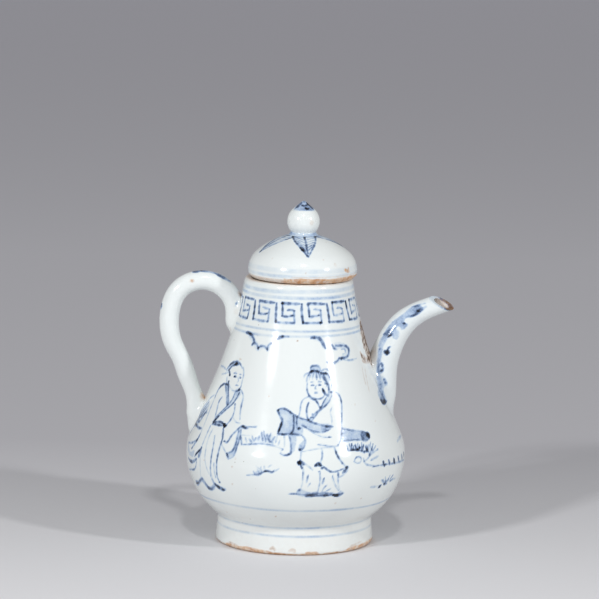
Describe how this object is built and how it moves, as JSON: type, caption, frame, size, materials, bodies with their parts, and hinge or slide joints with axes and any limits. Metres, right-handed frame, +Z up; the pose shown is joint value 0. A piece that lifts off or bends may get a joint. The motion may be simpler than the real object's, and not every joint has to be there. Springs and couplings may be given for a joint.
{
  "type": "porcelain teapot",
  "caption": "Pear-shaped blue-and-white porcelain teapot on a ring foot, with a curved spout, a loop handle and a lift-off domed lid with a ball knob, for brewing and pouring tea.",
  "frame": {"origin": "centre of the foot ring's resting face", "axes": "+Z up along the pot's axis, +X towards the spout, -X towards the handle"},
  "size_m": [0.1284, 0.096, 0.15],
  "materials": {
    "blue_white_glaze": "glossy transparent glaze over cobalt brush painting on white porcelain",
    "bare_porcelain": "unglazed fired porcelain, slightly toasted"
  },
  "bodies": {
    "pot": {"foot_ring": "blue_white_glaze", "foot_slip": "blue_white_glaze", "body_lower": "blue_white_glaze", "body_upper": "blue_white_glaze", "spout": "blue_white_glaze", "handle": "blue_white_glaze"},
    "lid": {"lid_dome": "blue_white_glaze", "lid_flange": "bare_porcelain", "lid_knob": "blue_white_glaze", "knob_slip": "blue_white_glaze"}
  },
  "joints": [
    {"name": "lid_lift", "type": "slide", "parent": "pot", "child": "lid", "axis": [0, 0, 1], "range_m": [0, 0.05]}
  ]
}
